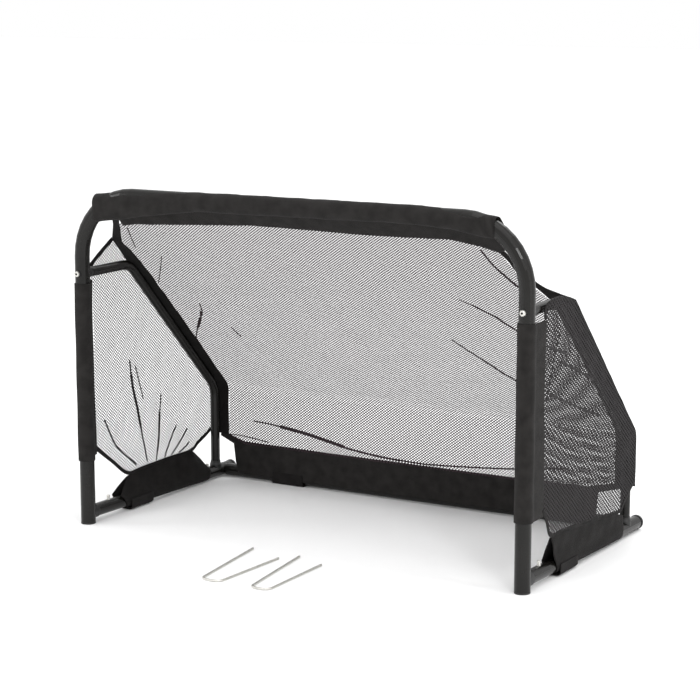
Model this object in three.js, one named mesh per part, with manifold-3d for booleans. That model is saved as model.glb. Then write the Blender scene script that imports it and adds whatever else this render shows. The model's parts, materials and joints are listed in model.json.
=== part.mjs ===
// Soccer goal frame: plug-together steel tubes, net in fabric sleeves, two ground pegs.
// Millimetres, +Z up, the goal mouth faces -Y.
import * as THREE from 'three';
import { mergeVertices } from 'three/addons/utils/BufferGeometryUtils.js';
import Module from 'manifold-3d';

const wasm = await Module();
wasm.setup();

// Front frame
const POST_X = 582;
const BAR_Z = 802;
const POST_R = 18;
const WALL = 1.5;
const CORNER_R = 150;
const GAP = 0.3;

// Foot plugs
const FOOT_H = 4;
const FOOT_SPIGOT_H = 36;

// Side arches
const ARCH_R = 12;
const ARCH_Z = 612;
const ARCH_Y = 555;
const ARCH_START_Y = 26.3;
const ARCH_DIAGONAL_TOP_Y = 187;
const ARCH_DIAGONAL_FOOT_Z = 246;
const ARCH_BEND_R = 70;
const ARCH_END_Z = 47;
const FOOT_COLLAR_TOP_Z = 46.7;
const BOLT_R = 4;
const BOLT_HOLE_R = 4.4;
const BOLT_END_Y = 41;

// Base rails
const RAIL_R = 16;
const RAIL_FRONT_Z = 27;
const RAIL_START_Y = 27.3;
const RAIL_SPLIT_Y = 537;
const RAIL_END_Y = 622;
const FRONT_STUB_END_Y = 115;
const CORNER_STUB_START_Y = 478;
const CAP_R = 17.2;
const CAP_END_Y = 629;
const RAIL_TILT = Math.asin((RAIL_FRONT_Z - CAP_R) / CAP_END_Y);

// Rear bar
const REAR_BAR_Y = 590;
const REAR_BAR_END_X = 565.4;
const REAR_STUB_END_X = 500;

// Lock buttons
const BUTTON_R = 4.2;
const BUTTON_HOLE_R = 4.6;
const BUTTON_FLANGE_R = 6;
const BUTTON_FLANGE_TOP = 10.8;
const FRONT_BUTTON_Y = 81;
const REAR_BUTTON_Y = 515;
const BAR_BUTTON_X = 535;
const FRONT_BUTTON_RISE = 12;
const REAR_BUTTON_RISE = 10;
const BAR_BUTTON_RISE = 8;

// Fabric
const CLOTH = 1.6;
const SIDE_X = 599.3;
const SLOPE_SUM = 819.5;
const REAR_Y = 569.5;
const SLEEVE_LEFT_X = -534;
const SLEEVE_RIGHT_X = 511;
const SLEEVE_R = 19.8;
const POST_SLEEVE_Z0 = 157;
const POST_SLEEVE_Z1 = 588;
const FLAP_END_Y = 60;
const REAR_NET_HALF = 546.5;
const BAND_INNER_X = 548;
const NET_EDGE_SUM = 817;
const LOOP_R = 17.3;
const CORNER_Y = { left: 143, right: 205 };

// Ground pegs
const PEG_R = 2.75;
const PEG_BEND_R = 19;

// The whole object spans this range front to back; its middle is the frame origin.
const SPAN_FRONT_Y = -271.2;
const SPAN_BACK_Y = 629.2;

const steel = new THREE.MeshStandardMaterial({ color: 0x2a2a29, roughness: 0.45, metalness: 0.6 });
const plastic = new THREE.MeshStandardMaterial({ color: 0x161616, roughness: 0.6 });
const zinc = new THREE.MeshStandardMaterial({ color: 0xb4b4b0, roughness: 0.3, metalness: 0.9 });
const fabric = new THREE.MeshStandardMaterial({ color: 0x2b2928, roughness: 0.9 });
const net = new THREE.MeshStandardMaterial({ color: 0x4a4348, roughness: 0.9 });

const goal = new THREE.Group();
goal.name = 'soccer_goal_frame';

// A centreline sampled only at its own knots, so straight runs carry no extra rings.
class Route extends THREE.Curve {
  constructor(knots) {
    super();
    this.knots = knots;
  }

  getPoint(t, target = new THREE.Vector3()) {
    const at = t * (this.knots.length - 1);
    const i = Math.min(Math.floor(at + 1e-9), this.knots.length - 2);
    return target.lerpVectors(this.knots[i], this.knots[i + 1], at - i);
  }

  getPointAt(u, target) {
    return this.getPoint(u, target);
  }

  getTangent(t, target = new THREE.Vector3()) {
    const i = Math.round(t * (this.knots.length - 1));
    const last = this.knots.length - 1;
    const into = new THREE.Vector3();
    const out = new THREE.Vector3();
    if (i > 0) into.subVectors(this.knots[i], this.knots[i - 1]).normalize();
    if (i < last) out.subVectors(this.knots[i + 1], this.knots[i]).normalize();
    return target.addVectors(into, out).normalize();
  }

  getTangentAt(u, target) {
    return this.getTangent(u, target);
  }

  getSpacedPoints() {
    return this.knots.map((knot) => knot.clone());
  }
}

// Polyline corners rounded to a radius; each bend is split evenly.
function rounded(corners, radius, steps) {
  const knots = [corners[0].clone()];
  for (let i = 1; i < corners.length - 1; i += 1) {
    const back = new THREE.Vector3().subVectors(corners[i - 1], corners[i]).normalize();
    const ahead = new THREE.Vector3().subVectors(corners[i + 1], corners[i]).normalize();
    const half = back.angleTo(ahead) / 2;
    const centre = back.clone().add(ahead).normalize();
    centre.multiplyScalar(radius / Math.sin(half)).add(corners[i]);
    const start = back.clone().multiplyScalar(radius / Math.tan(half)).add(corners[i]);
    const axis = new THREE.Vector3().crossVectors(ahead, back).normalize();
    const arm = start.sub(centre);
    for (let k = 0; k <= steps; k += 1) {
      const turn = (Math.PI - 2 * half) * (k / steps);
      knots.push(arm.clone().applyAxisAngle(axis, turn).add(centre));
    }
  }
  knots.push(corners[corners.length - 1].clone());
  return knots;
}

function ring(outer, inner, segments) {
  const shape = new THREE.Shape();
  const hole = new THREE.Path();
  for (let i = 0; i < segments; i += 1) {
    const a = (i / segments) * 2 * Math.PI;
    const step = i === 0 ? 'moveTo' : 'lineTo';
    shape[step](outer * Math.cos(a), outer * Math.sin(a));
    hole[step](inner * Math.cos(-a), inner * Math.sin(-a));
  }
  if (inner > 0) shape.holes.push(hole);
  return shape;
}

function sweep(shape, knots) {
  return new THREE.ExtrudeGeometry(shape, {
    steps: knots.length - 1,
    bevelEnabled: false,
    extrudePath: new Route(knots),
  });
}

function tube(outer, inner, segments, knots) {
  return sweep(ring(outer, inner, segments), knots);
}

function v(x, y, z) {
  return new THREE.Vector3(x, y, z);
}

// Solid of revolution about Z from [radius, height] points.
function lathe(profile, segments) {
  return new THREE.LatheGeometry(profile.map(([r, z]) => new THREE.Vector2(r, z)), segments)
    .rotateX(Math.PI / 2);
}

function rod(radius, from, to, segments) {
  return lathe([[0, from], [radius, from], [radius, to], [0, to]], segments);
}

// Turns a Z-axis part so that it runs along +Y.
function alongY(geometry) {
  return geometry.rotateX(-Math.PI / 2);
}

function toManifold(geometry) {
  const bare = geometry.clone();
  bare.deleteAttribute('normal');
  bare.deleteAttribute('uv');
  const merged = mergeVertices(bare, 1e-4);
  return new wasm.Manifold(new wasm.Mesh({
    numProp: 3,
    vertProperties: new Float32Array(merged.attributes.position.array),
    triVerts: new Uint32Array(merged.index.array),
  }));
}

function fromManifold(solid) {
  const mesh = solid.getMesh();
  const geometry = new THREE.BufferGeometry();
  geometry.setAttribute('position', new THREE.BufferAttribute(mesh.vertProperties, 3));
  geometry.setIndex(new THREE.BufferAttribute(mesh.triVerts, 1));
  geometry.computeVertexNormals();
  return geometry;
}

function cut(geometry, cutters) {
  let solid = toManifold(geometry);
  for (const cutter of cutters) solid = solid.subtract(toManifold(cutter));
  return fromManifold(solid);
}

function join(geometries) {
  let solid = toManifold(geometries[0]);
  for (const part of geometries.slice(1)) solid = solid.add(toManifold(part));
  return fromManifold(solid);
}

// Strip of cloth or spring steel seen edge-on: a polyline given a thickness.
function ribbon(points, thickness) {
  const line = points.map(([a, b]) => new THREE.Vector2(a, b));
  const left = [];
  const right = [];
  line.forEach((point, i) => {
    const into = line[Math.max(i, 1)].clone().sub(line[Math.max(i, 1) - 1]).normalize();
    const next = Math.min(i, line.length - 2);
    const out = line[next + 1].clone().sub(line[next]).normalize();
    const normal = new THREE.Vector2(-into.y - out.y, into.x + out.x).normalize();
    const reach = thickness / 2 / (normal.x * -into.y + normal.y * into.x);
    left.push(point.clone().addScaledVector(normal, reach));
    right.unshift(point.clone().addScaledVector(normal, -reach));
  });
  return new THREE.Shape([...left, ...right]);
}

function outline(points) {
  return new THREE.Shape(points.map(([a, b]) => new THREE.Vector2(a, b)));
}

// Extrudes a shape drawn in the Y-Z plane along X.
function alongX(shape, from, to) {
  const geometry = new THREE.ExtrudeGeometry(shape, { depth: to - from, bevelEnabled: false });
  const place = new THREE.Matrix4().makeBasis(v(0, 1, 0), v(0, 0, 1), v(1, 0, 0));
  return geometry.applyMatrix4(place).translate(from, 0, 0);
}

// Extrudes a shape drawn in the X-Z plane along Y.
function throughY(shape, from, to) {
  const geometry = new THREE.ExtrudeGeometry(shape, { depth: to - from, bevelEnabled: false });
  const place = new THREE.Matrix4().makeBasis(v(1, 0, 0), v(0, 0, 1), v(0, -1, 0));
  return geometry.applyMatrix4(place).translate(0, to, 0);
}

// Extrudes an outline given as [x, y] on the plane of the sloping net, half to each side of it.
function onSlope(points) {
  const geometry = new THREE.ExtrudeGeometry(outline(points), { depth: CLOTH, bevelEnabled: false });
  const place = new THREE.Matrix4().makeBasis(v(1, 0, 0), v(0, 1, -1), v(0, 1, 1).normalize());
  return geometry.translate(0, 0, -CLOTH / 2).applyMatrix4(place).translate(0, 0, SLOPE_SUM);
}

function add(name, geometry, material) {
  const mesh = new THREE.Mesh(geometry.clone().translate(0, -(SPAN_FRONT_Y + SPAN_BACK_Y) / 2, 0), material);
  mesh.name = name;
  goal.add(mesh);
}

// Places geometry made for x = 0 on a rail that runs back and slightly down.
function onRail(geometry, x) {
  return geometry.rotateX(-RAIL_TILT).translate(x, 0, RAIL_FRONT_Z);
}

function railHeight(y) {
  return RAIL_FRONT_Z - Math.tan(RAIL_TILT) * y;
}

function button(rise) {
  const top = RAIL_R + rise;
  return lathe([
    [0, BUTTON_FLANGE_TOP - 1.5], [BUTTON_FLANGE_R, BUTTON_FLANGE_TOP - 1.5],
    [BUTTON_FLANGE_R, BUTTON_FLANGE_TOP], [BUTTON_R, BUTTON_FLANGE_TOP],
    [BUTTON_R, top - 2], [3, top - 0.5], [0, top],
  ], 20);
}

// Leaf spring under a button, drawn at its fully pressed height, V lying along Y.
function leafSpring() {
  const shape = ribbon([[-30, -10.2], [-6, 0.2], [6, 0.2], [9, -2], [-30, -11.6 + 0.2]], 0.8);
  return alongX(shape, -3.5, 3.5);
}

const buttonDrill = (at) => rod(BUTTON_HOLE_R, 6, RAIL_R + 4, 20).translate(0, at, 0);
const stubInner = RAIL_R - WALL - GAP - WALL;
const stubOuter = RAIL_R - WALL - GAP;

// Front frame: one bent tube with a welded stub for each base rail
const frameKnots = rounded([
  v(-POST_X, 0, FOOT_H + GAP), v(-POST_X, 0, BAR_Z), v(POST_X, 0, BAR_Z), v(POST_X, 0, FOOT_H + GAP),
], CORNER_R, 10);
let frontFrame = tube(POST_R, POST_R - WALL, 24, frameKnots);
for (const side of [-1, 1]) {
  const x = side * POST_X;
  const postCore = rod(POST_R - 0.8, -60, 120, 24).translate(x, 0, 0);
  const stub = onRail(tube(stubOuter, stubInner, 24, [v(0, 2, 0), v(0, FRONT_STUB_END_Y, 0)]), x);
  const drill = onRail(buttonDrill(FRONT_BUTTON_Y), x);
  const boltDrill = alongY(rod(BOLT_HOLE_R, -30, 30, 20)).translate(x, 0, ARCH_Z);
  frontFrame = cut(join([frontFrame, cut(stub, [postCore])]), [drill, boltDrill]);
}
add('front_frame', frontFrame, steel);

const sleeveLoop = alongX(ribbon([
  ...Array.from({ length: 10 }, (_, i) => {
    const a = Math.PI * (1.08 - i * 0.122);
    return [SLEEVE_R * Math.cos(a), BAR_Z + SLEEVE_R * Math.sin(a)];
  }),
  [SLEEVE_R + 0.6, SLOPE_SUM - SLEEVE_R - 0.6], [60, SLOPE_SUM - 60],
], CLOTH), SLEEVE_LEFT_X, SLEEVE_RIGHT_X);
const sleeveTail = onSlope([[SLEEVE_LEFT_X, 58], [SLEEVE_RIGHT_X, 58], [482, 94], [SLEEVE_LEFT_X, 94]]);
add('crossbar_sleeve', join([sleeveLoop, sleeveTail]), fabric);

// Rear panel: sloping from the crossbar band to the arch feet, then upright
const netSlope = onSlope([
  [-539, 97], [461, 97], [474, 125], [482, 149], [508, 181], [534, 214], [541, 300], [REAR_NET_HALF, 569.6],
  [-REAR_NET_HALF, 569.6], [-551, 260], [-556, 200], [-564, 165], [-572, 150],
]);
const netFoot = throughY(outline([
  [-REAR_NET_HALF, 250.3], [-REAR_NET_HALF, 118], [-500, 94], [475, 94], [REAR_NET_HALF, 118],
  [REAR_NET_HALF, 250.3],
]), REAR_Y - CLOTH / 2, REAR_Y + CLOTH / 2);
add('rear_net', join([netSlope, netFoot]), net);

add('rear_band', throughY(outline([
  [-530, 14], [505, 14], [505, 92], [575, 110], [575, 127], [475, 104], [-500, 104], [-575, 127],
  [-575, 110], [-530, 92],
]), 571.4, 572.6), fabric);

add('rear_tab', alongX(ribbon([
  [570.3, 32], [570.3, 6], [575, 1], [605, 1], [609, 6], [609, 26],
], 1), -416, -322), fabric);

for (const side of [-1, 1]) {
  const tag = side < 0 ? 'left' : 'right';
  const x = side * POST_X;
  const railTop = railHeight(ARCH_Y) + RAIL_R;

  // Post foot
  add(`foot_plug_${tag}`, lathe([
    [0, 0], [POST_R - 0.6, 0], [POST_R, 0.6], [POST_R, FOOT_H],
    [POST_R - WALL - GAP, FOOT_H], [POST_R - WALL - GAP, FOOT_H + FOOT_SPIGOT_H],
    [0, FOOT_H + FOOT_SPIGOT_H],
  ], 32).translate(x, 0, 0), plastic);

  // Bolt through the post into the nut insert of the arch tube
  const hexSocket = alongY(rod(2.9, -30, -22.4, 6)).translate(x, 0, ARCH_Z);
  const bolt = alongY(lathe([
    [0, -25], [4.4, -25], [6.4, -23.6], [7, -21.6], [7, -20.6],
    [BOLT_R, -20.6], [BOLT_R, BOLT_END_Y], [0, BOLT_END_Y],
  ], 24)).translate(x, 0, ARCH_Z);
  add(`arch_bolt_${tag}`, cut(bolt, [hexSocket]), zinc);
  const postShell = rod(POST_R + GAP, -30, 30, 24).translate(x, 0, ARCH_Z);
  const washer = alongY(tube(8.5, BOLT_HOLE_R, 24, [v(0, 0, -20.3), v(0, 0, -10)]));
  add(`bolt_washer_${tag}`, cut(washer.translate(x, 0, ARCH_Z), [postShell]), plastic);
  const saddle = alongY(tube(ARCH_R + 0.9, BOLT_HOLE_R, 24, [v(0, 0, 10), v(0, 0, 26)]));
  add(`arch_saddle_${tag}`, cut(saddle.translate(x, 0, ARCH_Z), [postShell]), plastic);
  const insert = tube(ARCH_R - WALL - GAP, BOLT_HOLE_R, 20, [v(0, 0, 26.6), v(0, 0, 44)]);
  add(`arch_nut_${tag}`, alongY(insert).translate(x, 0, ARCH_Z), zinc);

  // Side arch
  const archKnots = rounded([
    v(x, ARCH_START_Y, ARCH_Z), v(x, ARCH_DIAGONAL_TOP_Y, ARCH_Z),
    v(x, ARCH_Y, ARCH_DIAGONAL_FOOT_Z), v(x, ARCH_Y, ARCH_END_Z),
  ], ARCH_BEND_R, 5);
  add(`arch_tube_${tag}`, tube(ARCH_R, ARCH_R - WALL, 20, archKnots), steel);

  // Base rail, front part
  const railShell = onRail(alongY(rod(RAIL_R + GAP, 500, 610, 24)), x);
  const collar = onRail(tube(17.6, stubOuter + GAP, 24, [v(0, 4, 0), v(0, 27, 0)]), x);
  const postSkin = rod(POST_R + GAP, -10, 60, 24).translate(x, 0, 0);
  add(`rail_collar_${tag}`, cut(collar, [postSkin]), plastic);
  const rail = tube(RAIL_R, RAIL_R - WALL, 24, [v(0, RAIL_START_Y, 0), v(0, RAIL_SPLIT_Y - GAP, 0)]);
  const drills = [buttonDrill(FRONT_BUTTON_Y), buttonDrill(REAR_BUTTON_Y)];
  add(`base_rail_${tag}`, onRail(cut(rail, drills), x), steel);

  // Welded corner: rail end, plug-in stub, rear bar stub and arch spigot
  const cornerTube = tube(RAIL_R, RAIL_R - WALL, 24, [v(0, RAIL_SPLIT_Y, 0), v(0, RAIL_END_Y, 0)]);
  const plugStub = tube(stubOuter, stubInner, 24, [
    v(0, CORNER_STUB_START_Y, 0), v(0, RAIL_SPLIT_Y + 6, 0),
  ]);
  const shoulder = tube(RAIL_R - 0.7, stubInner, 24, [
    v(0, RAIL_SPLIT_Y + 1, 0), v(0, RAIL_SPLIT_Y + 6, 0),
  ]);
  const core = alongY(rod(RAIL_R - 0.8, 530, 640, 24));
  const barStub = tube(stubOuter, stubInner, 24, [
    v(-side * 2, REAR_BAR_Y, 0), v(-side * (POST_X - REAR_STUB_END_X), REAR_BAR_Y, 0),
  ]);
  const railParts = [cornerTube, plugStub, shoulder, cut(barStub, [core])].map((part) => onRail(part, x));
  const archSpigot = tube(ARCH_R - WALL - GAP, 8.4, 20, [
    v(x, ARCH_Y, railTop - RAIL_R + 2), v(x, ARCH_Y, railTop + 50),
  ]);
  const cornerPiece = join([...railParts, cut(archSpigot, [onRail(core, x)])]);
  const barDrill = rod(BUTTON_HOLE_R, 6, RAIL_R + 4, 20)
    .translate(-side * (POST_X - BAR_BUTTON_X), REAR_BAR_Y, 0);
  const cornerDrills = [onRail(buttonDrill(REAR_BUTTON_Y), x), onRail(barDrill, x)];
  add(`rail_corner_${tag}`, cut(cornerPiece, cornerDrills), steel);

  const foot = lathe([
    [ARCH_R - WALL, 10], [ARCH_R + 3.4, 10], [ARCH_R + 3.4, 36.5], [ARCH_R + 0.9, 43],
    [ARCH_R + 0.9, FOOT_COLLAR_TOP_Z], [ARCH_R - WALL, FOOT_COLLAR_TOP_Z], [ARCH_R - WALL, 10],
  ], 24).translate(x, ARCH_Y, 0);
  const belowRail = new THREE.BoxGeometry(60, 60, 40).translate(x, ARCH_Y, railTop - RAIL_R - 20);
  add(`foot_collar_${tag}`, cut(foot, [railShell, belowRail]), plastic);

  add(`end_cap_${tag}`, onRail(alongY(lathe([
    [0, 612], [stubOuter, 612], [stubOuter, RAIL_END_Y + GAP], [CAP_R, RAIL_END_Y + GAP],
    [CAP_R, CAP_END_Y], [0, CAP_END_Y],
  ], 32)), x), plastic);

  // Lock buttons and their leaf springs
  add(`front_button_${tag}`, onRail(button(FRONT_BUTTON_RISE).translate(0, FRONT_BUTTON_Y, 0), x), zinc);
  add(`front_spring_${tag}`, onRail(leafSpring().translate(0, FRONT_BUTTON_Y, 0), x), zinc);
  add(`rear_button_${tag}`, onRail(button(REAR_BUTTON_RISE).translate(0, REAR_BUTTON_Y, 0), x), zinc);
  add(`rear_spring_${tag}`, onRail(leafSpring().translate(0, REAR_BUTTON_Y, 0), x), zinc);
  const inward = -side * (POST_X - BAR_BUTTON_X);
  add(`bar_button_${tag}`, onRail(button(BAR_BUTTON_RISE).translate(inward, REAR_BAR_Y, 0), x), zinc);
  const barSpring = leafSpring().rotateZ(side * Math.PI / 2).translate(inward, REAR_BAR_Y, 0);
  add(`bar_spring_${tag}`, onRail(barSpring, x), zinc);

  // Sleeve round the post with its flap on the outer side of the goal
  const flapX = side * SIDE_X;
  const lift = Math.acos((SIDE_X - POST_X) / SLEEVE_R);
  const wrap = Array.from({ length: 20 }, (_, i) => {
    const a = lift - i * (5.85 / 19);
    return [x + side * SLEEVE_R * Math.cos(a), SLEEVE_R * Math.sin(a)];
  });
  const sleeveSection = ribbon([[flapX, FLAP_END_Y], ...wrap], CLOTH);
  add(`post_sleeve_${tag}`, new THREE.ExtrudeGeometry(sleeveSection, {
    depth: POST_SLEEVE_Z1 - POST_SLEEVE_Z0,
    bevelEnabled: false,
  }).translate(0, 0, POST_SLEEVE_Z0), fabric);

  // Side panel and its reinforcing bands, outside the tubes
  const sheetX = [flapX - CLOTH / 2, flapX + CLOTH / 2];
  const cornerY = CORNER_Y[tag];
  const topEdge = side < 0 ? [[22, 604], [136, 675]] : [[55, 594], [52, 618], [72, 632], [126, 634], [195, 615]];
  add(`top_binding_${tag}`, alongX(ribbon(topEdge, 11), ...sheetX), fabric);
  const topNet = side < 0
    ? [[142, 674.5], [140, 669], [26, 597.5], [24, 589], [FLAP_END_Y + 1, 589]]
    : [[202, 608], [194, 607.5], [126, 626.5], [75, 625], [62, 616], [62, 588]];
  const netFront = side < 0 ? [[FLAP_END_Y + 1, 178], [185, 107.5]] : [[FLAP_END_Y + 1, 185], [108, 113.5]];
  add(`side_net_${tag}`, alongX(outline([
    ...netFront, [473.5, 96.5], [545, 127.5], [568, 127.5], [568, NET_EDGE_SUM - 568], ...topNet,
  ]), ...sheetX), net);
  const lowFront = side < 0 ? [[65, 168], [184, 102.5]] : [[65, 167], [105, 106.5]];
  add(`low_binding_${tag}`, alongX(ribbon([...lowFront, [474, 91.5], [546, 122.5]], 8), ...sheetX), fabric);
  const bandEdge = side < 0
    ? [[541, 99], [574, 150], [566, 165], [558, 200], [553, 260]]
    : [[464, 97], [476, 123], [484, 147], [510, 179], [536, 212], [543, 300]];
  const bandTop = side < 0 ? [[560, 99]] : [[567, 195], [539, 184], [523, 171], [493, 127], [482, 97]];
  add(`corner_band_${tag}`, join([
    onSlope([
      ...bandEdge, [BAND_INNER_X, 569.6], [SIDE_X + CLOTH / 2, 569.6], [SIDE_X + CLOTH / 2, cornerY], ...bandTop,
    ].map(([across, along]) => [side * across, along])),
    throughY(outline([
      [side * BAND_INNER_X, 120], [side * (SIDE_X + CLOTH / 2), 120],
      [side * (SIDE_X + CLOTH / 2), 250.3], [side * BAND_INNER_X, 250.3],
    ]), REAR_Y - CLOTH / 2, REAR_Y + CLOTH / 2),
  ]), fabric);
  // Band looped round the rail under the side net, closed by a tab
  const loop = Array.from({ length: 17 }, (_, i) => {
    const a = -i * Math.PI / 16;
    return [LOOP_R * Math.cos(a), LOOP_R * Math.sin(a)];
  });
  const loopSection = ribbon([[LOOP_R, 74], ...loop, [-LOOP_R, 12], [LOOP_R - 2.6, 72]]
    .map(([across, up]) => [side * across, up]), 1.2);
  const bandLoop = onRail(throughY(loopSection, 100, 506), x);
  const bandSide = side < 0
    ? [[150, 0], [118, 50], [186, 98], [476, 86.5], [506, 84], [506, 0]]
    : [[150, 0], [103, 101.5], [476, 86.5], [506, 84], [506, 0]];
  const bandCut = alongX(outline(bandSide), x - 40, x + 40);
  add(`base_band_${tag}`, fromManifold(toManifold(bandLoop).intersect(toManifold(bandCut))), fabric);
  add(`base_tab_${tag}`, throughY(ribbon([
    [side * 601.9, 30], [side * 601.9, 9], [side * 597, 3.4],
    [side * 567, 3.4], [side * 562.1, 9], [side * 562.1, 30],
  ], 1.2), 152, 244), fabric);
}

// Rear bar between the two welded corners
const barZ = railHeight(REAR_BAR_Y);
const barDrills = [-1, 1].map((side) => rod(BUTTON_HOLE_R, 6, RAIL_R + 4, 20)
  .translate(side * BAR_BUTTON_X, REAR_BAR_Y, barZ));
add('rear_bar', cut(tube(RAIL_R, RAIL_R - WALL, 24, [
  v(-REAR_BAR_END_X, REAR_BAR_Y, barZ), v(REAR_BAR_END_X, REAR_BAR_Y, barZ),
]), barDrills), steel);

// Two bent-wire ground pegs lying in front of the goal
const pegCorners = {
  left: [v(-107, 0, PEG_R), v(-71, -266, PEG_R), v(-22, -270, PEG_R), v(-11, -42, PEG_R)],
  right: [v(22, -5, PEG_R), v(58, -266, PEG_R), v(104, -270, PEG_R), v(101, -39, PEG_R)],
};
for (const [tag, corners] of Object.entries(pegCorners)) {
  add(`ground_peg_${tag}`, tube(PEG_R, 0, 16, rounded(corners, PEG_BEND_R, 8)), zinc);
}

export default goal;
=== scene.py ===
import bpy
import json
import math
import numpy as np
from mathutils import Matrix, Vector


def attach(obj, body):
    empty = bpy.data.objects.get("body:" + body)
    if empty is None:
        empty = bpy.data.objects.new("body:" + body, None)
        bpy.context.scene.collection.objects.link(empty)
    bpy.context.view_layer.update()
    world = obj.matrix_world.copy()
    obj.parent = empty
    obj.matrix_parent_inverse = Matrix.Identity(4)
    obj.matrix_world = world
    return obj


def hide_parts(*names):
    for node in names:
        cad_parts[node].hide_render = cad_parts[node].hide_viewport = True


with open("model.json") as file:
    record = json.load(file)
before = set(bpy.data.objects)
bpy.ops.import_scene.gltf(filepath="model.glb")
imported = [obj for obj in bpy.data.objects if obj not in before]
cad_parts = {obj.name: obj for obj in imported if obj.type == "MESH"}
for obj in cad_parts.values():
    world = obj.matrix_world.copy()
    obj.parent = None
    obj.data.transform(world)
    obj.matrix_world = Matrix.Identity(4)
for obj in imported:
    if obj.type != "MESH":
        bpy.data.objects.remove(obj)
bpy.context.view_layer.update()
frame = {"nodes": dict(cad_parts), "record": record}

# Lengths are in millimetres: x from the middle, y back from the post axes, z up from the floor.
# place() turns them into row-frame metres.
POST_AXIS_Y = -0.179
SLOPE_SUM = 819.5  # y + z on the sloping plane of the rear net
REAR_Y = 569.5  # plane of the net's upright foot
SIDE_X = 599.3  # plane of the side panels
POST_X = 582.0
BOLT_Z = 612
BOLT_SOCKET_R = 2.95
BOLT_FACE_Y = -20.5
SLEEVE_R = 19.8  # radius of the cloth round the 36 mm tube
SLEEVE_LEFT_X = -534
SLEEVE_RIGHT_X = 511
POST_SLEEVE_TOP = 588
POST_SLEEVE_LENGTH = 431
FLAP_END_Y = 60
RAIL_FRONT_Z = 27  # the rail's axis falls from here to RAIL_BACK_Z over RAIL_LENGTH
RAIL_BACK_Z = 17.2
RAIL_LENGTH = 629
LOOP_R = 17.3  # radius of the cloth round the 32 mm rail
BASE_BAND_Y = (104, 506)
REAR_BAND_X = 575
TAPE_WIDTH = {"top": 11, "low": 10}
ROOT2 = math.sqrt(2)
FOLD_S = REAR_Y * ROOT2  # length down the slope at which the net turns upright
FOOT = FOLD_S + (SLOPE_SUM - REAR_Y)  # s of a point of the foot is FOOT - z
FOLD_R = 14.0
STRAND_ANGLES = (40, 143)
FOOT_THICKENING = 0.16  # share by which the strands are wider on the foot
LAYER_GAP = 1.1  # distance between the strand families, in strand depths
CREASE_LIFT = 1.4  # height of the creases over the net, in strand depths


def place(points):
    p = np.asarray(points, float) / 1000.0
    p[..., 1] += POST_AXIS_Y
    return p


def smooth(a, b, x):
    """Soft step from 0 at a to 1 at b."""
    t = np.clip((x - a) / (b - a), 0, 1)
    return t * t * (3 - 2 * t)


def along(x, points):
    """Height at x of the line through the (x, height) points."""
    return np.interp(x, [p[0] for p in points], [p[1] for p in points])


def run_of(line):
    """Length from the start of the line to each of its points."""
    return np.r_[0, np.cumsum(np.linalg.norm(np.diff(np.asarray(line, float), axis=0), axis=1))]


def across_of(line):
    """Unit direction across a flat line at each of its points."""
    step = np.gradient(line, axis=0)
    across = np.stack([-step[:, 1], step[:, 0]], axis=1)
    return across / np.linalg.norm(across, axis=1, keepdims=True)


def make(name, verts, faces, material, uvs=None, shade=True):
    mesh = bpy.data.meshes.new(name)
    mesh.from_pydata([tuple(p) for p in verts], [], [tuple(f) for f in faces])
    if uvs is not None:
        layer = mesh.uv_layers.new(name="cut")
        loops = np.zeros(len(mesh.loops), int)
        mesh.loops.foreach_get("vertex_index", loops)
        layer.data.foreach_set("uv", np.asarray(uvs, float)[loops].ravel())
    mesh.update()
    if shade:
        mesh.shade_smooth()
    obj = bpy.data.objects.new(name, mesh)
    bpy.context.collection.objects.link(obj)
    mesh.materials.append(material)
    return obj


def thick_grid(name, grid, uv, thickness, material):
    """Closed thin sheet from a grid of points in mm: both faces and the rim are built."""
    g = np.asarray(grid, float)
    n, m = g.shape[:2]
    du = np.gradient(g, axis=0)
    dv = np.gradient(g, axis=1)
    normal = np.cross(du, dv)
    normal /= np.linalg.norm(normal, axis=2, keepdims=True) + 1e-9
    top = place(g + normal * thickness / 2).reshape(-1, 3)
    low = place(g - normal * thickness / 2).reshape(-1, 3)
    verts = np.vstack([top, low])
    uvs = np.vstack([np.asarray(uv, float).reshape(-1, 2)] * 2) / 1000.0
    k = n * m
    faces = []

    def at(i, j):
        return i * m + j

    for i in range(n - 1):
        for j in range(m - 1):
            a, b, c, d = at(i, j), at(i + 1, j), at(i + 1, j + 1), at(i, j + 1)
            faces.append((a, b, c, d))
            faces.append((d + k, c + k, b + k, a + k))
    rim = [at(i, 0) for i in range(n)] + [at(n - 1, j) for j in range(1, m)]
    rim += [at(i, m - 1) for i in range(n - 2, -1, -1)] + [at(0, j) for j in range(m - 2, 0, -1)]
    for a, b in zip(rim, rim[1:] + rim[:1]):
        faces.append((b, a, a + k, b + k))
    return make(name, verts, faces, material, uvs)


def resample(line, n):
    """The same line with n evenly spaced points."""
    p = np.asarray(line, float)
    d = run_of(p)
    t = np.linspace(0, d[-1], n)
    return np.stack([np.interp(t, d, p[:, k]) for k in range(p.shape[1])], axis=1)


def curve(points, n):
    """Catmull-Rom line through the points, resampled evenly."""
    p = np.asarray(points, float)
    q = np.vstack([2 * p[0] - p[1], p, 2 * p[-1] - p[-2]])
    out = []
    for i in range(len(p) - 1):
        a, b, c, d = q[i:i + 4]
        for t in np.linspace(0, 1, 12, endpoint=False):
            out.append(0.5 * (2 * b + (c - a) * t + (2 * a - 5 * b + 4 * c - d) * t * t
                              + (3 * b - a - 3 * c + d) * t ** 3))
    out.append(p[-1])
    return resample(out, n)


# ---------------------------------------------------------------- materials

def nodes_of(name):
    """New material with its node tree and surface shader."""
    mat = bpy.data.materials.new(name)
    mat.use_nodes = True
    tree = mat.node_tree
    return mat, tree, tree.nodes["Principled BSDF"]


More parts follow.
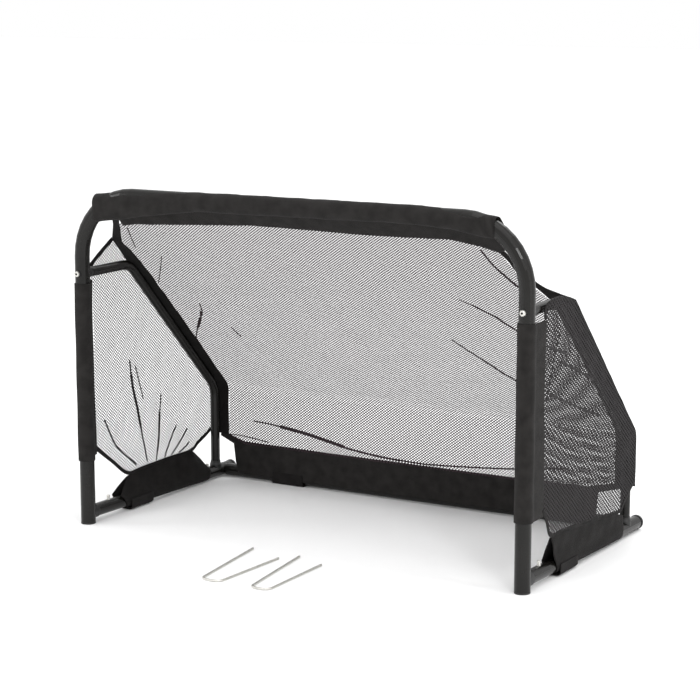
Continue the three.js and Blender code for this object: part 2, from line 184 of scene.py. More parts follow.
def new(tree, kind, **values):
    """Node of the kind, its inputs or settings filled in by name."""
    node = tree.nodes.new(kind)
    for key, value in values.items():
        if key in node.inputs:
            node.inputs[key].default_value = value
        else:
            setattr(node, key, value)
    return node


def coloured(tree, shader, source, stops):
    """Colour of the surface from a ramp over the source."""
    node = tree.nodes.new("ShaderNodeValToRGB")
    while len(node.color_ramp.elements) < len(stops):
        node.color_ramp.elements.new(0.5)
    for element, (at, colour) in zip(node.color_ramp.elements, stops):
        element.position = at
        element.color = (*colour, 1)
    tree.links.new(source, node.inputs["Fac"])
    tree.links.new(node.outputs["Color"], shader.inputs["Base Color"])


def roughened(tree, shader, source, low, high):
    """Roughness of the surface between low and high, over the source."""
    rough = new(tree, "ShaderNodeMapRange")
    rough.inputs["To Min"].default_value = low
    rough.inputs["To Max"].default_value = high
    tree.links.new(source, rough.inputs["Value"])
    tree.links.new(rough.outputs["Result"], shader.inputs["Roughness"])


def bumped(tree, shader, source, strength, distance=0.0003, under=None):
    """Relief of the surface from the source, on top of the relief under it."""
    bump = new(tree, "ShaderNodeBump", Strength=strength, Distance=distance)
    tree.links.new(source, bump.inputs["Height"])
    if under:
        tree.links.new(under, bump.inputs["Normal"])
    tree.links.new(bump.outputs["Normal"], shader.inputs["Normal"])


def powder_coat():
    """Satin black paint with fine orange peel."""
    mat, tree, shader = nodes_of("satin_black_paint")
    coords = new(tree, "ShaderNodeTexCoord")
    fine = new(tree, "ShaderNodeTexNoise", Scale=900.0, Detail=3.0)
    broad = new(tree, "ShaderNodeTexNoise", Scale=9.0, Detail=4.0)
    for node in (fine, broad):
        tree.links.new(coords.outputs["Object"], node.inputs["Vector"])
    coloured(tree, shader, broad.outputs["Fac"],
             [(0.3, (0.0060, 0.0056, 0.0050)), (0.7, (0.0095, 0.0089, 0.0080))])
    roughened(tree, shader, broad.outputs["Fac"], 0.17, 0.26)
    shader.inputs["Specular IOR Level"].default_value = 0.27
    bumped(tree, shader, fine.outputs["Fac"], 0.12)
    return mat


def moulded_plastic():
    """Matt black plastic with moulded grain."""
    mat, tree, shader = nodes_of("moulded_black_plastic")
    coords = new(tree, "ShaderNodeTexCoord")
    grain = new(tree, "ShaderNodeTexNoise", Scale=1400.0, Detail=2.0)
    tree.links.new(coords.outputs["Object"], grain.inputs["Vector"])
    coloured(tree, shader, grain.outputs["Fac"],
             [(0.3, (0.007, 0.007, 0.007)), (0.75, (0.013, 0.013, 0.0125))])
    shader.inputs["Roughness"].default_value = 0.5
    bumped(tree, shader, grain.outputs["Fac"], 0.25)
    return mat


def zinc_plate():
    """Bright zinc with drawing marks and spangles."""
    mat, tree, shader = nodes_of("bright_zinc")
    coords = new(tree, "ShaderNodeTexCoord")
    spangle = new(tree, "ShaderNodeTexVoronoi", Scale=420.0)
    drawn = new(tree, "ShaderNodeTexNoise", Scale=260.0, Detail=4.0)
    for node in (spangle, drawn):
        tree.links.new(coords.outputs["Object"], node.inputs["Vector"])
    coloured(tree, shader, drawn.outputs["Fac"], [(0.3, (0.50, 0.49, 0.46)), (0.7, (0.78, 0.77, 0.73))])
    shader.inputs["Metallic"].default_value = 1.0
    roughened(tree, shader, spangle.outputs["Distance"], 0.22, 0.42)
    bumped(tree, shader, drawn.outputs["Fac"], 0.2)
    return mat


def weave(name, dark, light, pitch=0.0011):
    """Plain-woven polyester in the sheet's own cut coordinates, in metres."""
    mat, tree, shader = nodes_of(name)
    cut = new(tree, "ShaderNodeUVMap")
    cut.uv_map = "cut"
    heights = []
    for axis in ("X", "Y"):
        wave = new(tree, "ShaderNodeTexWave", Distortion=0.6, Detail=1.0)
        wave.inputs["Scale"].default_value = 0.314 / pitch
        wave.inputs["Detail Scale"].default_value = 2.0
        wave.bands_direction = axis
        tree.links.new(cut.outputs["UV"], wave.inputs["Vector"])
        heights.append(wave)
    cross = new(tree, "ShaderNodeMath", operation="MULTIPLY")
    tree.links.new(heights[0].outputs["Fac"], cross.inputs[0])
    tree.links.new(heights[1].outputs["Fac"], cross.inputs[1])
    worn = new(tree, "ShaderNodeTexNoise", Scale=34.0, Detail=6.0)
    tree.links.new(cut.outputs["UV"], worn.inputs["Vector"])
    blend = new(tree, "ShaderNodeMath", operation="MULTIPLY_ADD")
    tree.links.new(cross.outputs[0], blend.inputs[0])
    blend.inputs[1].default_value = 0.35
    tree.links.new(worn.outputs["Fac"], blend.inputs[2])
    coloured(tree, shader, blend.outputs[0], [(0.35, dark), (0.85, light)])
    shader.inputs["Roughness"].default_value = 0.82
    shader.inputs["Sheen Weight"].default_value = 0.03
    shader.inputs["Sheen Roughness"].default_value = 0.5
    shader.inputs["Specular IOR Level"].default_value = 0.14
    crumple = new(tree, "ShaderNodeTexNoise", Scale=22.0, Detail=5.0)
    tree.links.new(cut.outputs["UV"], crumple.inputs["Vector"])
    soft = new(tree, "ShaderNodeBump", Strength=0.35, Distance=0.004)
    tree.links.new(crumple.outputs["Fac"], soft.inputs["Height"])
    bumped(tree, shader, cross.outputs[0], 0.5, 0.0004, soft.outputs["Normal"])
    return mat


def yarn(name, dark, light):
    """Knitting yarn with fine lint and slow changes of shade."""
    mat, tree, shader = nodes_of(name)
    coords = new(tree, "ShaderNodeTexCoord")
    lint = new(tree, "ShaderNodeTexNoise", Scale=700.0, Detail=3.0)
    patch = new(tree, "ShaderNodeTexNoise", Scale=5.0, Detail=2.0)
    for node in (lint, patch):
        tree.links.new(coords.outputs["Object"], node.inputs["Vector"])
    both = new(tree, "ShaderNodeMath", operation="MULTIPLY")
    tree.links.new(lint.outputs["Fac"], both.inputs[0])
    tree.links.new(patch.outputs["Fac"], both.inputs[1])
    coloured(tree, shader, both.outputs[0], [(0.12, dark), (0.42, light)])
    shader.inputs["Roughness"].default_value = 0.75
    shader.inputs["Specular IOR Level"].default_value = 0.35
    bumped(tree, shader, lint.outputs["Fac"], 0.4)
    return mat


paint = powder_coat()
plastic = moulded_plastic()
zinc = zinc_plate()
sleeve_cloth = weave("sleeve_cloth_black", (0.009, 0.0082, 0.0078), (0.022, 0.0203, 0.0195))
band_cloth = weave("band_cloth_black", (0.0040, 0.0034, 0.0032), (0.0100, 0.0087, 0.0082))
tape_cloth = weave("binding_tape_black", (0.006, 0.0053, 0.0051), (0.014, 0.0125, 0.0122), 0.0008)
rear_yarn = yarn("rear_net_yarn", (0.012, 0.0065, 0.0085), (0.046, 0.027, 0.034))
side_yarn = yarn("side_net_yarn", (0.007, 0.0058, 0.0062), (0.024, 0.0205, 0.0215))

SLOT_LOOKS = {"frame_paint": paint, "black_plastic": plastic, "zinc": zinc}
for row in frame["record"]["subparts"]:
    look = SLOT_LOOKS.get(row["material_slot"])
    if look:
        node = frame["nodes"][row["node"]]
        node.data.materials.clear()
        node.data.materials.append(look)

# Painted shade: the zinc hex sockets of the bolts get a copy of the black frame paint, for the shade in the
# recess against the bright heads
socket_painted_shade = powder_coat()
for tag, side in (("left", -1), ("right", 1)):
    bolt = frame["nodes"][f"arch_bolt_{tag}"].data
    bolt.materials.append(socket_painted_shade)
    axis = place((side * POST_X, BOLT_FACE_Y, BOLT_Z))
    for face in bolt.polygons:
        off = Vector((face.center.x - axis[0], face.center.z - axis[2]))
        if off.length < BOLT_SOCKET_R / 1000 and face.center.y < axis[1]:
            face.material_index = 1

# ---------------------------------------------------------------- cloth pieces

def declare(obj, node):
    """The sheet rides on the goal and stands for the CAD node, which is hidden."""
    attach(obj, "goal")
    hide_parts(node)


def waves(u, v, size, seed, octaves=3):
    """Smooth wrinkle height in mm at sheet coordinates in mm."""
    r = np.random.default_rng(seed)
    total = np.zeros(np.broadcast(u, v).shape)
    for k in range(octaves * 4):
        angle = r.uniform(0, math.pi)
        length = r.uniform(60, 190) / (1 + k * 0.25)
        phase = r.uniform(0, 2 * math.pi)
        run = u * math.cos(angle) + v * math.sin(angle)
        total += np.sin(run * 2 * math.pi / length + phase) / (1 + k * 0.5)
    return total * size / 2.2


def hull_loop(circles, tip, n):
    """Convex outline, in (y, z), round the circles and the tip, starting and ending at the tip."""
    pts = [tip]
    for y, z, r in circles:
        for a in np.linspace(0, 2 * math.pi, 48, endpoint=False):
            pts.append((y + r * math.cos(a), z + r * math.sin(a)))
    pts = sorted(set(map(tuple, pts)))

    def half(seq):
        out = []
        for p in seq:
            while len(out) > 1 and ((out[-1][0] - out[-2][0]) * (p[1] - out[-2][1])
                                    - (out[-1][1] - out[-2][1]) * (p[0] - out[-2][0])) <= 0:
                out.pop()
            out.append(p)
        return out

    loop = half(pts)[:-1] + half(pts[::-1])[:-1]
    start = min(range(len(loop)), key=lambda i: (loop[i][0] - tip[0]) ** 2 + (loop[i][1] - tip[1]) ** 2)
    loop = loop[start:] + loop[:start] + [loop[start]]
    return resample(loop, n)


# Along the crossbar, as (x, value): top of the sleeve, middle of the round that its slack hangs down to,
# and the y of the seam and of the hem on the sloping plane
CROSSBAR_TOP = [(-534, 803), (-505, 806), (-470, 811), (-423, 815), (-330, 819), (-150, 821), (150, 821.5),
                (330, 821.5), (430, 817), (468, 813), (511, 807)]
CROSSBAR_SLACK = [(-534, 757), (-500, 762), (-440, 770), (-380, 780), (-250, 796), (300, 801), (400, 795),
                  (460, 786), (511, 781)]
SEAM_Y = [(-534, 60), (-480, 56), (-400, 50), (-250, 43), (0, 39), (300, 39), (420, 42), (470, 46), (511, 47)]
HEM_Y = [(-534, 101), (-490, 94), (-440, 92), (-300, 84), (-155, 76), (-22, 77), (106, 80), (234, 79),
         (360, 76), (426, 88), (466, 101), (482, 96), (511, 62)]


def crossbar_sleeve():
    """Loop round the crossbar, sewn to a two-layer band that carries the net."""
    around = 60
    grid, uv = [], []
    for x in np.linspace(SLEEVE_LEFT_X, SLEEVE_RIGHT_X, 150):
        seam_y = along(x, SEAM_Y)
        hem_y = along(x, HEM_Y)
        seam = (seam_y, SLOPE_SUM - seam_y)
        hem = (hem_y, SLOPE_SUM - hem_y)
        high = along(x, CROSSBAR_TOP) - SLEEVE_R
        low = min(along(x, CROSSBAR_SLACK), high)
        loop = hull_loop([(0, high, SLEEVE_R), (0, low, SLEEVE_R)], seam, around)
        # the loop leaves the seam upwards, over the tube, and comes back to it from below
        if loop[5][1] < loop[-6][1]:
            loop = loop[::-1]
        fade = np.sin(np.linspace(0, math.pi, around)) ** 0.5
        puff = waves(np.full(around, x), np.arange(around) * 3.0, 0.9, 3) * fade
        away = loop - np.array([0.0, high])
        away /= np.linalg.norm(away, axis=1, keepdims=True)
        loop = loop + away * np.maximum(puff, -0.4)[:, None]
        back = resample([(hem[0] + 0.6, hem[1] + 0.6), (seam[0] + 1, seam[1] + 1)], 12)
        front = resample([(seam[0] - 0.9, seam[1] - 0.9), (hem[0] - 0.9, hem[1] - 0.9)], 12)
        profile = np.vstack([back[:-1], loop[1:-1], front[1:]])
        sag = waves(np.full(len(profile), x), np.arange(len(profile)) * 4.0, 1.1, 5)
        grid.append([(x, y, z) for y, z in profile + np.outer(sag * 0.4, (0.7, 0.7))])
        uv.append([(x, r) for r in run_of(profile)])
    obj = thick_grid("cloth_crossbar_sleeve", grid, uv, 1.0, sleeve_cloth)
    declare(obj, "crossbar_sleeve")


def post_sleeve(side, tag):
    """Cloth folded round the post, its free flap lying on the outer side."""
    lift = math.acos((SIDE_X - POST_X) / SLEEVE_R)
    wrap = 5.85
    steps = 45
    grid, uv = [], []
    for h in np.linspace(POST_SLEEVE_TOP, POST_SLEEVE_TOP - POST_SLEEVE_LENGTH, 90):
        down = (POST_SLEEVE_TOP - h) / POST_SLEEVE_LENGTH
        flap = FLAP_END_Y - 3 * math.sin(down * 5.0) * 0.8
        ripple = 0.5 * math.sin(h / 37.0)
        line = [(side * (SIDE_X + ripple * (y / FLAP_END_Y)), y) for y in np.linspace(flap, 16, 12)]
        for i in range(steps + 1):
            a = lift - i * (wrap / steps)
            # the front corner stands slightly proud, so that the fold shows as a line
            r = SLEEVE_R + 0.9 * math.exp(-((a + 0.95) / 0.18) ** 2) + 0.35 * math.sin(h / 23.0 + 2 * a)
            line.append((side * (POST_X + r * math.cos(a) * (1 + 0.02 * down)), r * math.sin(a)))
        if side > 0:
            line = line[::-1]
        grid.append([(x, y, h) for x, y in line])
        uv.append([(r, h) for r in run_of(line)])
    obj = thick_grid(f"cloth_post_sleeve_{tag}", grid, uv, 1.0, sleeve_cloth)
    declare(obj, f"post_sleeve_{tag}")


def fold_down(x, s, lift):
    """Point of the rear panel: s runs down the slope from its crossing with y = 0, then down the foot."""
    x, s, lift = np.broadcast_arrays(np.asarray(x, float), np.asarray(s, float), np.asarray(lift, float))
    slope = math.pi / 4
    angle = slope + slope * np.clip((s - (FOLD_S - FOLD_R)) / (2 * FOLD_R), 0, 1)
    slope_s = np.minimum(s, FOLD_S - FOLD_R)
    arc = 2 * FOLD_R / slope
    y = slope_s / ROOT2 + arc * (np.sin(angle) - math.sin(slope))
    z = SLOPE_SUM - slope_s / ROOT2 + arc * (np.cos(angle) - math.cos(slope))
    z = z - np.maximum(s - FOLD_S - FOLD_R, 0)
    return np.stack([x, y + lift * np.sin(angle), z + lift * np.cos(angle)], axis=-1)


def strip(name, edge_a, edge_b, n, m, surface, thickness, material, wrinkle, seed):
    """Sheet between two edges given in the coordinates of the surface."""
    a, b = resample(edge_a, n), resample(edge_b, n)
    t = np.linspace(0, 1, m)[None, :, None]
    flat = a[:, None] * (1 - t) + b[:, None] * t
    height = waves(flat[..., 0], flat[..., 1], wrinkle, seed)
    grid = surface(flat[..., 0], flat[..., 1], height)
    return thick_grid(name, grid, flat, thickness, material)


def side_surface(side):
    """Side panel's surface: (y, z) and a lift outwards to a point."""
    def at(y, z, lift):
        return np.stack([side * (SIDE_X + lift) + 0 * y, y, z], axis=-1)
    return at


def slope_line(points):
    """[x, y] on the sloping plane to [x, s]."""
    return [(x, y * ROOT2) for x, y in points]


def corner_band(side, tag):
    """Band along the rear edge of the side, from the crossbar band to the foot."""
    if side < 0:
        inner = [(528, 76), (545, 100), (574, 150), (566, 165), (558, 200), (553, 260), (548, 420),
                 (548, REAR_Y)]
        outer = [(548, 76), (563, 99), (599.8, 143), (600, 300), (600, REAR_Y)]
    else:
        inner = [(464, 97), (476, 123), (484, 147), (510, 179), (536, 212), (543, 300), (547, REAR_Y)]
        outer = [(482, 97), (493, 127), (523, 171), (539, 184), (567, 195), (600, 207), (600, REAR_Y)]
    a = [(side * x, s) for x, s in slope_line(inner)] + [(side * 548, FOOT - 120)]
    b = [(side * x, s) for x, s in slope_line(outer)] + [(side * 600, FOOT - 120)]
    obj = strip(f"cloth_corner_band_{tag}", a, b, 120, 9, fold_down, 0.9, band_cloth, 0.8, 21 + side)
    declare(obj, f"corner_band_{tag}")


def tape(name, node, points, width, side):
    """Binding tape sewn along a line of the side panel."""
    line = curve(points, 90)
    half = across_of(line) * width / 2
    obj = strip(name, line + half, line - half, 90, 5, side_surface(side), 1.1, tape_cloth, 0.3, 31)
    declare(obj, node)


def side_strips(side, tag):
    """Tapes on the top and the low edge of the side panel, as (y, z) lines."""
    if side < 0:
        top = [(20, 602), (60, 627), (100, 652), (143, 677)]
        low = [(60, 172), (125, 127), (187, 85), (250, 85), (360, 87), (462, 87), (500, 103)]
    else:
        top = [(56, 590), (54, 606), (64, 619), (95, 624), (130, 623), (165, 619), (198, 610)]
        low = [(60, 174), (82, 140), (104, 107), (180, 102), (330, 92), (474, 78), (510, 98)]
    low += [(546, 122), (563, 131)]
    tape(f"cloth_top_binding_{tag}", f"top_binding_{tag}", top, TAPE_WIDTH["top"], side)
    tape(f"cloth_low_binding_{tag}", f"low_binding_{tag}", low, TAPE_WIDTH["low"], side)


def base_band(side, tag):
    """Band looped round the rail: down outside, under the rail, and up inside to its top seam."""
    first, last = BASE_BAND_Y
    fall = math.tan(math.asin((RAIL_FRONT_Z - RAIL_BACK_Z) / RAIL_LENGTH))
    if side < 0:
        front_edge = [(0, 150), (44, 118), (80, 188)]
        crest = [(first, 78), (250, 82), (384, 87), (458, 89), (482, 76), (last, 60)]
    else:
        front_edge = [(0, 150), (50, 127), (101, 104)]
        crest = [(first, 102), (250, 97), (384, 86), (458, 76), (482, 70), (last, 62)]
    grid, uv = [], []
    for t in np.linspace(0, 1, 70):
        y_mid = first + t * (last - first)
        rail_z = RAIL_FRONT_Z - fall * y_mid
        crown = along(y_mid, crest) - rail_z
        section = [(LOOP_R, crown)]
        section += [(LOOP_R + 1.2 * math.sin(k * 0.9 + t * 9), crown * (1 - k / 8)) for k in range(1, 8)]
        section += [(LOOP_R * math.cos(-a), LOOP_R * math.sin(-a)) for a in np.linspace(0, math.pi, 17)]
        section += [(-17.2 + 0.5 * math.sin(t * 17), 12), (-4 + 1.5 * math.sin(t * 21 + 1), crown * 0.55)]
        section += [(LOOP_R - 2, crown - 1.5)]
        section = resample(section, 64)
        row = []
        for across, up in section:
            z = rail_z + up
            front = along(z, front_edge)
            y = front + t * (last - front)
            wrinkle = 0.7 * math.sin(y / 19 + z / 23 + side) + 0.4 * math.sin(y / 8.5 - z / 14)
            free = smooth(24, 60, z)
            row.append((side * (POST_X + across + (wrinkle * free if across > 0 else 0)), y, z))
        grid.append(row)
        uv.append([(y_mid, r) for r in run_of(section)])
    if side > 0:
        grid = grid[::-1]
        uv = uv[::-1]
    obj = thick_grid(f"cloth_base_band_{tag}", grid, uv, 1.0, band_cloth)
    declare(obj, f"base_band_{tag}")


def tab(name, node, line, low, high, axis):
    """Strap folded round a tube; line is its section in mm and it runs from low to high along the axis."""
    section = resample(line, 60)
    stations = np.linspace(low, high, 24)
    grid = [[(p[0], s, p[1]) if axis == "y" else (s, p[0], p[1]) for p in section] for s in stations]
    run = run_of(section)
    uv = [[(s, r) for r in run] for s in stations]
    obj = thick_grid(name, grid, uv, 0.9, tape_cloth)
    declare(obj, node)


# ---------------------------------------------------------------- nets

def inside(poly, p):
    """Which of the points are inside the polygon."""
    x, y = p[:, 0], p[:, 1]
    hit = np.zeros(len(p), bool)
    q = np.asarray(poly, float)
    for (x0, y0), (x1, y1) in zip(q, np.roll(q, -1, axis=0)):
        cross = (y0 > y) != (y1 > y)
        with np.errstate(divide="ignore", invalid="ignore"):
            hit ^= cross & (x < (x1 - x0) * (y - y0) / (y1 - y0) + x0)
    return hit


def clip(poly, origin, direction):
    """Stretches of the line inside the polygon, as pairs of distances along it."""
    q = np.asarray(poly, float)
    cuts = []
    for a, b in zip(q, np.roll(q, -1, axis=0)):
        e = b - a
        det = direction[0] * -e[1] + direction[1] * e[0]
        if abs(det) < 1e-9:
            continue
        r = a - origin
        t = (r[0] * -e[1] + r[1] * e[0]) / det
        k = (direction[0] * r[1] - direction[1] * r[0]) / det
        if 0 <= k < 1:
            cuts.append(t)
    cuts.sort()
    return list(zip(cuts[::2], cuts[1::2]))


# Spacing of the strands, width of each family, and depth, in mm
REAR_KNIT = (5.4, (1.35, 2.1), 0.4)
SIDE_KNIT = {"left": (6.2, (1.15, 1.15), 1.05), "right": (8.0, (4.1, 2.6), 0.6)}


def net(name, poly, surface, lift, material, knit, creases, foot_from=None):
    """Knitted mesh as two families of crossing flat strands, cut to poly and laid on the surface.

    Strands are wider below foot_from, where the net hangs upright and would otherwise look thinner."""
    pitch, widths, depth = knit
    q = np.asarray(poly, float)
    centre = q.mean(axis=0)
    reach = np.linalg.norm(q - centre, axis=1).max()
    verts, faces, count = [], [], 0

    def strand(line, offset, wide):
        nonlocal count
        across = across_of(line)
        if foot_from is not None:
            across *= 1 + FOOT_THICKENING * smooth(foot_from - 12, foot_from + 12, line[:, 1:])
        rows = []
        for sx, sz in ((-1, -1), (1, -1), (1, 1), (-1, 1)):
            uv = line + across * sx * wide / 2
            rows.append(surface(uv[:, 0], uv[:, 1], lift(uv[:, 0], uv[:, 1]) + offset + sz * depth / 2))
        block = np.stack(rows, axis=1)
        n = len(line)
        verts.append(block.reshape(-1, 3))
        base = count
        for i in range(n - 1):
            a = base + i * 4
            for k in range(4):
                after = (k + 1) % 4
                faces.append((a + k, a + after, a + 4 + after, a + 4 + k))
        faces.append((base + 3, base + 2, base + 1, base))
        e = base + (n - 1) * 4
        faces.append((e, e + 1, e + 2, e + 3))
        count += n * 4

    for family, degrees in enumerate(STRAND_ANGLES):
        d = np.array([math.cos(math.radians(degrees)), math.sin(math.radians(degrees))])
        side = np.array([-d[1], d[0]])
        for k in range(int(-reach / pitch) - 1, int(reach / pitch) + 2):
            origin = centre + side * k * pitch
            for t0, t1 in clip(poly, origin, d):
                if t1 - t0 < 2:
                    continue
                n = max(2, int((t1 - t0) / 24) + 2)
                line = origin + np.linspace(t0, t1, n)[:, None] * d
                strand(line, (family - 0.5) * depth * LAYER_GAP, widths[family])
    for points, wide in creases:
        line = curve(points, 26)
        keep = inside(poly, line)
        if keep.sum() > 3:
            strand(line[keep], depth * CREASE_LIFT, wide)
    mesh_points = place(np.vstack(verts))
    return make(name, mesh_points, faces, material, shade=False)


def rise(value, over):
    """0 at the edge of a net, growing to 1 over the distance from it."""
    return np.clip(value / over, 0, 1)


def rear_net():
    """Net on the slope and its upright foot, hanging slightly inwards."""
    top_edge = [(-542, 96), (-490, 88), (-440, 86), (-300, 78), (-155, 70), (-22, 71), (106, 74), (234, 73),
                (360, 70), (426, 82)]
    right_edge = [(462, 95), (475, 125), (483, 149), (509, 181), (535, 214), (542, 300), (547, REAR_Y)]
    left_edge = [(-547, REAR_Y), (-552, 260), (-557, 200), (-565, 165), (-573, 150)]
    foot = [(547, FOOT - 118), (475, FOOT - 97), (-500, FOOT - 97), (-547, FOOT - 118)]
    poly = slope_line(top_edge + right_edge) + foot + slope_line(left_edge)

    def lift(x, s):
        edge = rise(547 - np.abs(x), 120) * rise(s - 130, 120) * rise(930 - s, 90)
        sag = -7 * edge * np.sin(math.pi * rise(s - 130, 700))
        return sag + 1.6 * waves(x, s * 0.6, 1.0, 8, 2) * edge

    obj = net("net_rear", poly, fold_down, lift, rear_yarn, REAR_KNIT, REAR_CREASES, FOLD_S)
    declare(obj, "rear_net")


def side_net(side, tag):
    """Net of the side panel, from the post sleeve's flap to the rear corner."""
    if side < 0:
        top = [(145, 672), (140, 671), (26, 599), (24, 589), (61, 588.5)]
        low = [(61, 174), (188, 86), (470, 88)]
    else:
        top = [(203, 613), (165, 624), (126, 632), (76, 631), (58, 618), (58, 588.5)]
        low = [(60, 182), (105, 108), (330, 93), (470, 79)]
    poly = low + [(546, 124), (568, 124), (568, 250)] + top

    def lift(y, z):
        edge = rise(y - 50, 80) * rise(800 - y - z, 80) * rise(z - 105, 60)
        return edge * (1.2 + 1.4 * waves(y, z, 1.0, 17 + side, 2))

    at = side_surface(side)
    obj = net(f"net_side_{tag}", poly, at, lift, side_yarn, SIDE_KNIT[tag], SIDE_CREASES[tag])
    declare(obj, f"side_net_{tag}")


def rear_band():
    """Band along the foot of the rear net, with a narrow ear at each end."""
    upper = [(-REAR_BAND_X, 126), (-500, 103), (-200, 101), (200, 101), (475, 103), (REAR_BAND_X, 126)]
    lower = [(-REAR_BAND_X, 111), (-530, 92), (-528, 20), (-500, 14), (0, 13), (480, 14), (503, 20),
             (505, 92), (REAR_BAND_X, 111)]
    stations = np.linspace(-REAR_BAND_X, REAR_BAND_X, 200)
    up = along(stations, upper)
    low = along(stations, lower)
    t = np.linspace(0, 1, 16)
    zz = up[:, None] * (1 - t) + low[:, None] * t
    xx = stations[:, None] + 0 * t
    bend = waves(xx, zz, 1.3, 55) * smooth(0, 30, 110 - zz) * smooth(0, 30, zz - 10)
    grid = np.stack([xx, 572 - np.abs(bend), zz], axis=-1)
    obj = thick_grid("cloth_rear_band", grid, np.stack([xx, zz], axis=-1), 0.9, sleeve_cloth)
    declare(obj, "rear_band")


# Folds of the nets: points on the panel in mm, and how much net is doubled there
REAR_CREASES = [
    ([(-470, 893), (-435, 895), (-380, 900), (-313, 908)], 3.2),
    ([(-390, 899), (-313, 909), (-250, 921), (-194, 932)], 7.5),
    ([(-260, 920), (-194, 933), (-110, 943), (-33, 948)], 4.5),
    ([(-60, 946), (52, 948), (278, 932), (430, 912)], 3.4),
    ([(-561, 936), (-498, 937), (-426, 945)], 2.4),
    ([(227, 486), (278, 550), (340, 629), (380, 672)], 4.2),
    ([(262, 530), (300, 575), (345, 634)], 5.0),
    ([(306, 324), (366, 369), (414, 419), (440, 452)], 3.6),
    ([(366, 371), (414, 421), (436, 446)], 4.2),
    ([(421, 139), (438, 199), (472, 260), (500, 300)], 5.0),
    ([(440, 205), (470, 259), (500, 303)], 6.0),
    ([(-528, 153), (-536, 190), (-544, 228)], 3.0),
    ([(-456, 436), (-470, 480), (-499, 516), (-549, 598)], 3.4),
    ([(-470, 470), (-490, 510), (-520, 552)], 5.0),
    ([(-477, 252), (-505, 300), (-554, 379)], 2.4),
    ([(-403, 523), (-392, 564)], 4.0),
]
SIDE_CREASES = {
    "left": [
        ([(206, 369), (224, 282), (251, 190), (274, 96)], 4.5),
        ([(214, 330), (230, 262), (250, 192)], 8.0),
        ([(340, 262), (331, 176), (313, 93)], 3.4),
        ([(333, 215), (326, 150), (318, 112)], 6.0),
        ([(404, 167), (377, 133), (349, 93)], 4.5),
        ([(454, 150), (417, 120), (380, 92)], 4.5),
        ([(462, 111), (440, 101), (416, 93)], 4.0),
        ([(98, 236), (149, 158), (227, 98)], 4.5),
        ([(230, 350), (250, 300), (262, 260)], 3.0),
    ],
    "right": [
        ([(128, 560), (93, 482), (66, 414)], 4.0),
        ([(60, 532), (111, 516), (163, 499)], 6.0),
        ([(55, 434), (190, 384), (355, 327)], 5.0),
        ([(133, 486), (240, 447), (306, 418)], 5.0),
    ],
}

crossbar_sleeve()
for side, tag in ((-1, "left"), (1, "right")):
    post_sleeve(side, tag)
    corner_band(side, tag)
    side_strips(side, tag)
    base_band(side, tag)
    side_net(side, tag)
    tab(f"cloth_base_tab_{tag}", f"base_tab_{tag}", [
        (side * 601.9, 30), (side * 601.9, 9), (side * 597, 3.4), (side * 567, 3.4),
        (side * 562.1, 9), (side * 562.1, 30)], 152, 244, "y")
rear_net()
rear_band()
tab("cloth_rear_tab", "rear_tab", [(570.3, 32), (570.3, 6), (575, 1), (605, 1), (609, 6), (609, 26)],
    -416, -322, "x")

# ---------------------------------------------------------------- studio

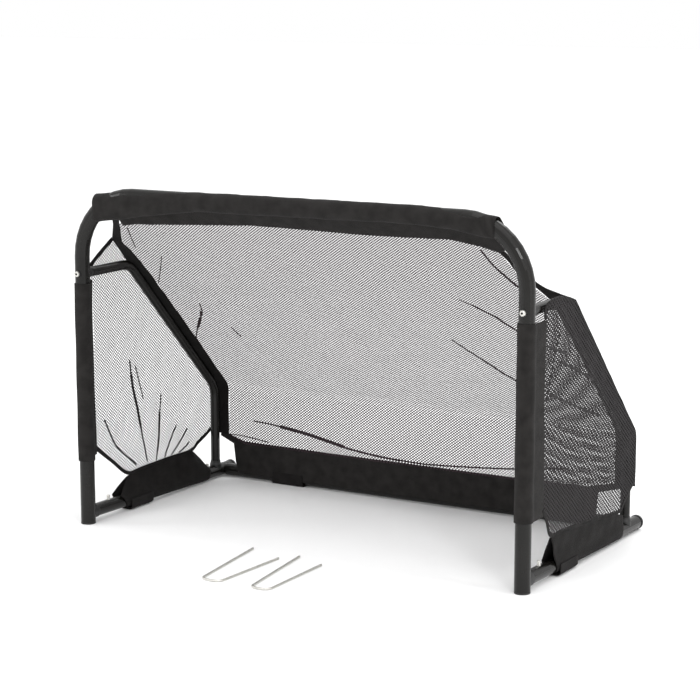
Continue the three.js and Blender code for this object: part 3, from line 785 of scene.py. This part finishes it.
def studio():
    """White floor and world, a soft sun and five lamps."""
    floor_mat, tree, shader = nodes_of("studio_floor")
    coords = new(tree, "ShaderNodeTexCoord")
    grain = new(tree, "ShaderNodeTexNoise", Scale=3.0, Detail=3.0)
    tree.links.new(coords.outputs["Object"], grain.inputs["Vector"])
    coloured(tree, shader, grain.outputs["Fac"], [(0.3, (0.93, 0.93, 0.93)), (0.7, (0.95, 0.95, 0.95))])
    shader.inputs["Roughness"].default_value = 0.6
    shader.inputs["Specular IOR Level"].default_value = 0.14
    reach = 30.0
    corners = [(-reach, -reach, 0), (reach, -reach, 0), (reach, reach, 0), (-reach, reach, 0)]
    floor = make("studio_floor", corners, [(0, 1, 2, 3)], floor_mat)
    world = bpy.data.worlds.new("studio")
    bpy.context.scene.world = world
    world.use_nodes = True
    background = world.node_tree.nodes["Background"]
    background.inputs["Color"].default_value = (1, 1, 1, 1)
    background.inputs["Strength"].default_value = 1.0
    overhead = bpy.data.lights.new("overhead", "SUN")
    overhead.energy = 1.0
    overhead.angle = math.radians(60)
    lamp = bpy.data.objects.new("overhead", overhead)
    lamp.rotation_euler = (math.radians(12), math.radians(8), 0)
    bpy.context.collection.objects.link(lamp)
    for name, spot, power, size in (
        ("key", (2.6, -2.2, 2.4), 20.0, 0.5),
        ("fill", (-3.0, -1.6, 2.2), 14.0, 0.8),
        ("rim", (0.4, 2.6, 3.2), 22.0, 1.6),
        ("strip_right", (3.4, -0.25, 1.25), 18.0, 0.2),
        ("strip_left", (-1.6, -3.6, 1.4), 14.0, 0.2),
    ):
        data = bpy.data.lights.new(name, "AREA")
        data.energy = power
        data.size = size
        if name.startswith("strip"):
            data.shape = "RECTANGLE"
            data.size_y = 2.2
        lamp = bpy.data.objects.new(name, data)
        bpy.context.collection.objects.link(lamp)
        lamp.location = spot
        lamp.rotation_mode = "QUATERNION"
        lamp.rotation_quaternion = (Vector((0, 0, 0.35)) - Vector(spot)).to_track_quat("-Z", "Y")
    bpy.context.scene.view_settings.view_transform = "Standard"
    bpy.context.scene.view_settings.look = "None"


def camera():
    """Long lens in front of the goal, to its right and slightly above."""
    azimuth, elevation, roll = math.radians(31.2014), math.radians(11.3919), -0.0022946
    back = Vector((math.sin(azimuth) * math.cos(elevation), -math.cos(azimuth) * math.cos(elevation),
                   math.sin(elevation)))
    right = Vector((math.cos(azimuth), math.sin(azimuth), 0))
    up = back.cross(right)
    r = right * math.cos(roll) + up * math.sin(roll)
    u = up * math.cos(roll) - right * math.sin(roll)
    data = bpy.data.cameras.new("view")
    data.lens = 109.4
    data.sensor_width = 36
    data.shift_x = 0.05
    data.shift_y = 0.0714
    data.clip_end = 200
    cam = bpy.data.objects.new("view", data)
    bpy.context.collection.objects.link(cam)
    turn = Matrix((r, u, back)).transposed().to_4x4()
    cam.matrix_world = Matrix.Translation((2.4838, -4.1776, 1.3126)) @ turn
    bpy.context.scene.camera = cam


studio()
camera()
bpy.context.view_layer.update()
